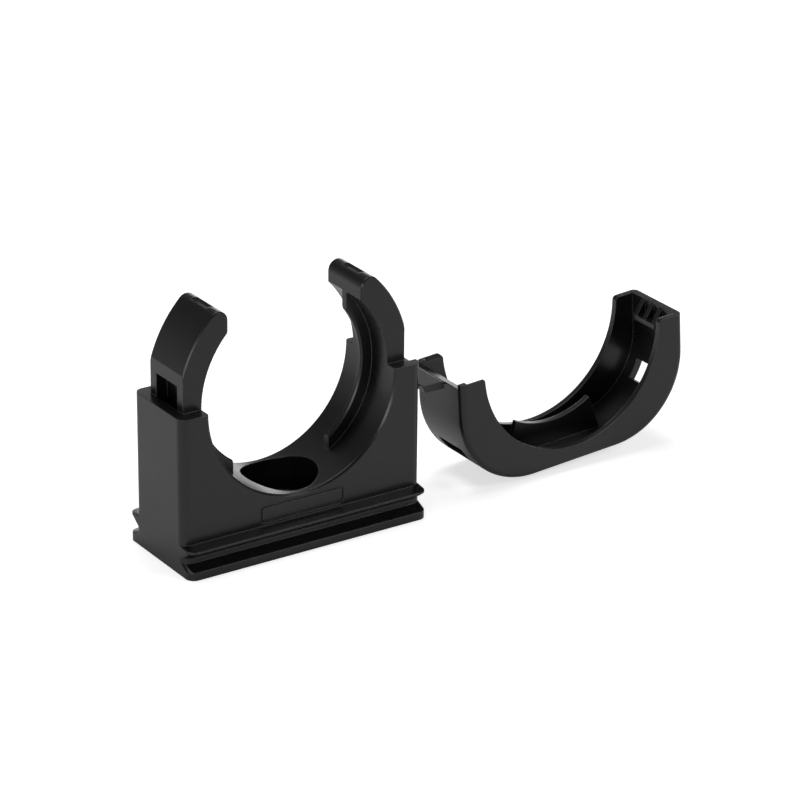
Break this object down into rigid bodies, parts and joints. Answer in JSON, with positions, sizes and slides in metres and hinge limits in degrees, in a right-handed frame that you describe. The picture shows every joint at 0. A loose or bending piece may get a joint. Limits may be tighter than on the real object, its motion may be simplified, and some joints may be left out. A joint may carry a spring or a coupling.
{
  "type": "conduit clip",
  "caption": "Snap-in clip for corrugated conduit with two spring arms, a recessed screw hole, grooved side rails and a hinged safety cover moulded on and shown open.",
  "frame": {"origin": "on the fixing screw's axis, on the flat underside that rests on the panel", "axes": "+Z out of the panel along the screw, Y along the conduit, +X across the clip towards the hinged cover, which is stored open"},
  "size_m": [0.1015, 0.02, 0.0435],
  "materials": {
    "black_plastic": "satin black polyamide"
  },
  "bodies": {
    "base": {"clip_base": "black_plastic"},
    "strap": {"hinge_strap": "black_plastic"},
    "lid": {"cover": "black_plastic"}
  },
  "joints": [
    {"name": "strap_film_hinge", "type": "hinge", "parent": "base", "child": "strap", "pos_m": [0.0231, 0, 0.02095], "axis": [0, -1, 0], "range_deg": [0, 90]},
    {"name": "cover_film_hinge", "type": "hinge", "parent": "strap", "child": "lid", "pos_m": [0.0304, 0, 0.0199], "axis": [0, -1, 0], "range_deg": [0, 85.95]}
  ]
}
